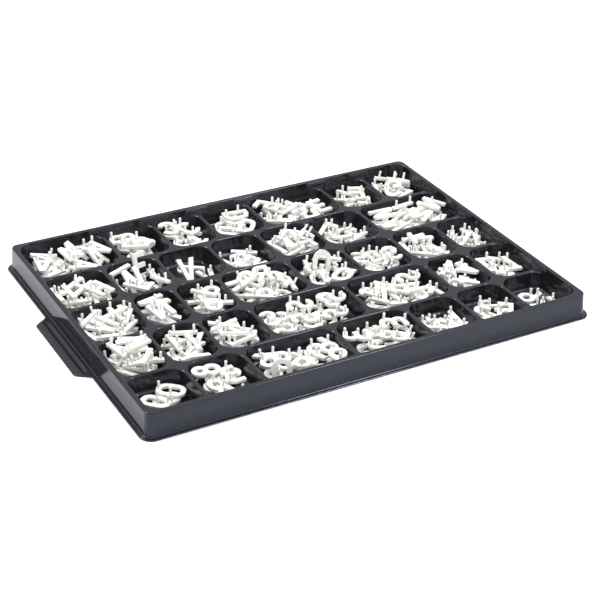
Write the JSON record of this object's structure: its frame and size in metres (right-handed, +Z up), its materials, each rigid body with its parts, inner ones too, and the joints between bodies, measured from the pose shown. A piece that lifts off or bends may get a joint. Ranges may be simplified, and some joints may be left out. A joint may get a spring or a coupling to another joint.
{
  "type": "sorting tray",
  "caption": "Shallow formed plastic tray with rounded compartments in five rows, each holding a loose heap of pegged display characters.",
  "frame": {"origin": "centre of the base, on the surface that the tray stands on", "axes": "+X along the long side, +Y from the front side to the back side, +Z up"},
  "size_m": [0.466, 0.3286, 0.0329],
  "materials": {
    "tray_plastic": "semi-gloss formed sheet",
    "character_plastic": "satin moulded"
  },
  "bodies": {
    "tray": {"rim_frame": "tray_plastic", "recess_wall": "tray_plastic", "divider_ledges": "tray_plastic", "outer_wall": "tray_plastic", "base_flange": "tray_plastic", "grip_left": "tray_plastic", "grip_right": "tray_plastic", "pockets_row_1": "tray_plastic", "pockets_row_2": "tray_plastic", "pockets_row_3": "tray_plastic", "pockets_row_4": "tray_plastic", "pockets_row_5": "tray_plastic"},
    "heap_row_1_bay_1": {"characters_row_1_bay_1": "character_plastic"},
    "heap_row_1_bay_2": {"characters_row_1_bay_2": "character_plastic"},
    "heap_row_1_bay_3": {"characters_row_1_bay_3": "character_plastic"},
    "heap_row_1_bay_4": {"characters_row_1_bay_4": "character_plastic"},
    "heap_row_1_bay_5": {"characters_row_1_bay_5": "character_plastic"},
    "heap_row_1_bay_6": {"characters_row_1_bay_6": "character_plastic"},
    "heap_row_1_bay_7": {"characters_row_1_bay_7": "character_plastic"},
    "heap_row_2_bay_1": {"characters_row_2_bay_1": "character_plastic"},
    "heap_row_2_bay_2": {"characters_row_2_bay_2": "character_plastic"},
    "heap_row_2_bay_3": {"characters_row_2_bay_3": "character_plastic"},
    "heap_row_2_bay_4": {"characters_row_2_bay_4": "character_plastic"},
    "heap_row_2_bay_5": {"characters_row_2_bay_5": "character_plastic"},
    "heap_row_2_bay_6": {"characters_row_2_bay_6": "character_plastic"},
    "heap_row_2_bay_7": {"characters_row_2_bay_7": "character_plastic"},
    "heap_row_3_bay_1": {"characters_row_3_bay_1": "character_plastic"},
    "heap_row_3_bay_2": {"characters_row_3_bay_2": "character_plastic"},
    "heap_row_3_bay_3": {"characters_row_3_bay_3": "character_plastic"},
    "heap_row_3_bay_4": {"characters_row_3_bay_4": "character_plastic"},
    "heap_row_3_bay_5": {"characters_row_3_bay_5": "character_plastic"},
    "heap_row_3_bay_6": {"characters_row_3_bay_6": "character_plastic"},
    "heap_row_3_bay_7": {"characters_row_3_bay_7": "character_plastic"},
    "heap_row_3_bay_8": {"characters_row_3_bay_8": "character_plastic"},
    "heap_row_4_bay_1": {"characters_row_4_bay_1": "character_plastic"},
    "heap_row_4_bay_2": {"characters_row_4_bay_2": "character_plastic"},
    "heap_row_4_bay_3": {"characters_row_4_bay_3": "character_plastic"},
    "heap_row_4_bay_4": {"characters_row_4_bay_4": "character_plastic"},
    "heap_row_4_bay_5": {"characters_row_4_bay_5": "character_plastic"},
    "heap_row_4_bay_6": {"characters_row_4_bay_6": "character_plastic"},
    "heap_row_4_bay_7": {"characters_row_4_bay_7": "character_plastic"},
    "heap_row_5_bay_1": {"characters_row_5_bay_1": "character_plastic"},
    "heap_row_5_bay_2": {"characters_row_5_bay_2": "character_plastic"},
    "heap_row_5_bay_3": {"characters_row_5_bay_3": "character_plastic"},
    "heap_row_5_bay_4": {"characters_row_5_bay_4": "character_plastic"},
    "heap_row_5_bay_5": {"characters_row_5_bay_5": "character_plastic"},
    "heap_row_5_bay_6": {"characters_row_5_bay_6": "character_plastic"},
    "heap_row_5_bay_7": {"characters_row_5_bay_7": "character_plastic"}
  },
  "joints": [
    {"name": "lift_row_1_bay_1", "type": "slide", "parent": "tray", "child": "heap_row_1_bay_1", "axis": [0, 0, 1], "range_m": [0, 0.05]},
    {"name": "lift_row_1_bay_2", "type": "slide", "parent": "tray", "child": "heap_row_1_bay_2", "axis": [0, 0, 1], "range_m": [0, 0.05]},
    {"name": "lift_row_1_bay_3", "type": "slide", "parent": "tray", "child": "heap_row_1_bay_3", "axis": [0, 0, 1], "range_m": [0, 0.05]},
    {"name": "lift_row_1_bay_4", "type": "slide", "parent": "tray", "child": "heap_row_1_bay_4", "axis": [0, 0, 1], "range_m": [0, 0.05]},
    {"name": "lift_row_1_bay_5", "type": "slide", "parent": "tray", "child": "heap_row_1_bay_5", "axis": [0, 0, 1], "range_m": [0, 0.05]},
    {"name": "lift_row_1_bay_6", "type": "slide", "parent": "tray", "child": "heap_row_1_bay_6", "axis": [0, 0, 1], "range_m": [0, 0.05]},
    {"name": "lift_row_1_bay_7", "type": "slide", "parent": "tray", "child": "heap_row_1_bay_7", "axis": [0, 0, 1], "range_m": [0, 0.05]},
    {"name": "lift_row_2_bay_1", "type": "slide", "parent": "tray", "child": "heap_row_2_bay_1", "axis": [0, 0, 1], "range_m": [0, 0.05]},
    {"name": "lift_row_2_bay_2", "type": "slide", "parent": "tray", "child": "heap_row_2_bay_2", "axis": [0, 0, 1], "range_m": [0, 0.05]},
    {"name": "lift_row_2_bay_3", "type": "slide", "parent": "tray", "child": "heap_row_2_bay_3", "axis": [0, 0, 1], "range_m": [0, 0.05]},
    {"name": "lift_row_2_bay_4", "type": "slide", "parent": "tray", "child": "heap_row_2_bay_4", "axis": [0, 0, 1], "range_m": [0, 0.05]},
    {"name": "lift_row_2_bay_5", "type": "slide", "parent": "tray", "child": "heap_row_2_bay_5", "axis": [0, 0, 1], "range_m": [0, 0.05]},
    {"name": "lift_row_2_bay_6", "type": "slide", "parent": "tray", "child": "heap_row_2_bay_6", "axis": [0, 0, 1], "range_m": [0, 0.05]},
    {"name": "lift_row_2_bay_7", "type": "slide", "parent": "tray", "child": "heap_row_2_bay_7", "axis": [0, 0, 1], "range_m": [0, 0.05]},
    {"name": "lift_row_3_bay_1", "type": "slide", "parent": "tray", "child": "heap_row_3_bay_1", "axis": [0, 0, 1], "range_m": [0, 0.05]},
    {"name": "lift_row_3_bay_2", "type": "slide", "parent": "tray", "child": "heap_row_3_bay_2", "axis": [0, 0, 1], "range_m": [0, 0.05]},
    {"name": "lift_row_3_bay_3", "type": "slide", "parent": "tray", "child": "heap_row_3_bay_3", "axis": [0, 0, 1], "range_m": [0, 0.05]},
    {"name": "lift_row_3_bay_4", "type": "slide", "parent": "tray", "child": "heap_row_3_bay_4", "axis": [0, 0, 1], "range_m": [0, 0.05]},
    {"name": "lift_row_3_bay_5", "type": "slide", "parent": "tray", "child": "heap_row_3_bay_5", "axis": [0, 0, 1], "range_m": [0, 0.05]},
    {"name": "lift_row_3_bay_6", "type": "slide", "parent": "tray", "child": "heap_row_3_bay_6", "axis": [0, 0, 1], "range_m": [0, 0.05]},
    {"name": "lift_row_3_bay_7", "type": "slide", "parent": "tray", "child": "heap_row_3_bay_7", "axis": [0, 0, 1], "range_m": [0, 0.05]},
    {"name": "lift_row_3_bay_8", "type": "slide", "parent": "tray", "child": "heap_row_3_bay_8", "axis": [0, 0, 1], "range_m": [0, 0.05]},
    {"name": "lift_row_4_bay_1", "type": "slide", "parent": "tray", "child": "heap_row_4_bay_1", "axis": [0, 0, 1], "range_m": [0, 0.05]},
    {"name": "lift_row_4_bay_2", "type": "slide", "parent": "tray", "child": "heap_row_4_bay_2", "axis": [0, 0, 1], "range_m": [0, 0.05]},
    {"name": "lift_row_4_bay_3", "type": "slide", "parent": "tray", "child": "heap_row_4_bay_3", "axis": [0, 0, 1], "range_m": [0, 0.05]},
    {"name": "lift_row_4_bay_4", "type": "slide", "parent": "tray", "child": "heap_row_4_bay_4", "axis": [0, 0, 1], "range_m": [0, 0.05]},
    {"name": "lift_row_4_bay_5", "type": "slide", "parent": "tray", "child": "heap_row_4_bay_5", "axis": [0, 0, 1], "range_m": [0, 0.05]},
    {"name": "lift_row_4_bay_6", "type": "slide", "parent": "tray", "child": "heap_row_4_bay_6", "axis": [0, 0, 1], "range_m": [0, 0.05]},
    {"name": "lift_row_4_bay_7", "type": "slide", "parent": "tray", "child": "heap_row_4_bay_7", "axis": [0, 0, 1], "range_m": [0, 0.05]},
    {"name": "lift_row_5_bay_1", "type": "slide", "parent": "tray", "child": "heap_row_5_bay_1", "axis": [0, 0, 1], "range_m": [0, 0.05]},
    {"name": "lift_row_5_bay_2", "type": "slide", "parent": "tray", "child": "heap_row_5_bay_2", "axis": [0, 0, 1], "range_m": [0, 0.05]},
    {"name": "lift_row_5_bay_3", "type": "slide", "parent": "tray", "child": "heap_row_5_bay_3", "axis": [0, 0, 1], "range_m": [0, 0.05]},
    {"name": "lift_row_5_bay_4", "type": "slide", "parent": "tray", "child": "heap_row_5_bay_4", "axis": [0, 0, 1], "range_m": [0, 0.05]},
    {"name": "lift_row_5_bay_5", "type": "slide", "parent": "tray", "child": "heap_row_5_bay_5", "axis": [0, 0, 1], "range_m": [0, 0.05]},
    {"name": "lift_row_5_bay_6", "type": "slide", "parent": "tray", "child": "heap_row_5_bay_6", "axis": [0, 0, 1], "range_m": [0, 0.05]},
    {"name": "lift_row_5_bay_7", "type": "slide", "parent": "tray", "child": "heap_row_5_bay_7", "axis": [0, 0, 1], "range_m": [0, 0.05]}
  ]
}
